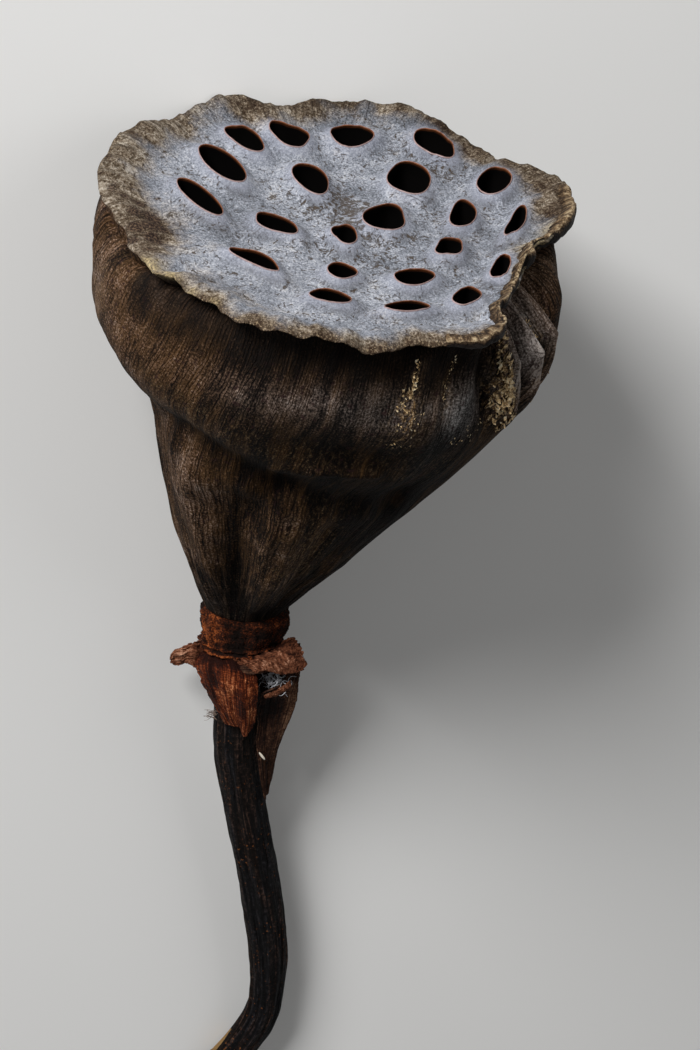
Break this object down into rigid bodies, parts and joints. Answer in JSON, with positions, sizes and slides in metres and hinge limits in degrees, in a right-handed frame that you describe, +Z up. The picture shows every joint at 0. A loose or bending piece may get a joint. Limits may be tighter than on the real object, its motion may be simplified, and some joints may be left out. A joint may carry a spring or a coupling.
{
  "type": "dried lotus pod",
  "caption": "Dried lotus seed head on its bent, cut stem, lying on its side: a flared pod with open seed holes, a rough collar and torn petal remnants.",
  "frame": {"origin": "on the surface that the pod lies on, under the middle of its bounding box", "axes": "+Z up; the disc with the seed holes faces +Y and tilts up, and the stem runs towards -Y"},
  "size_m": [0.1024, 0.2479, 0.0963],
  "materials": {
    "pod_skin": "dry, fibrous and matt, grey on the disc and brown on the wall",
    "rusty_skin": "rough, granular and rust brown",
    "petal_skin": "thin, ribbed and orange brown",
    "papery_skin": "thin, papery and light brown",
    "stem_skin": "dark, wrinkled and matt"
  },
  "bodies": {
    "root": {"seed_pod": "pod_skin", "collar": "rusty_skin", "petal_front": "petal_skin", "petal_left": "petal_skin", "petal_long": "papery_skin", "petal_skirt": "papery_skin", "stem": "stem_skin"}
  },
  "joints": []
}
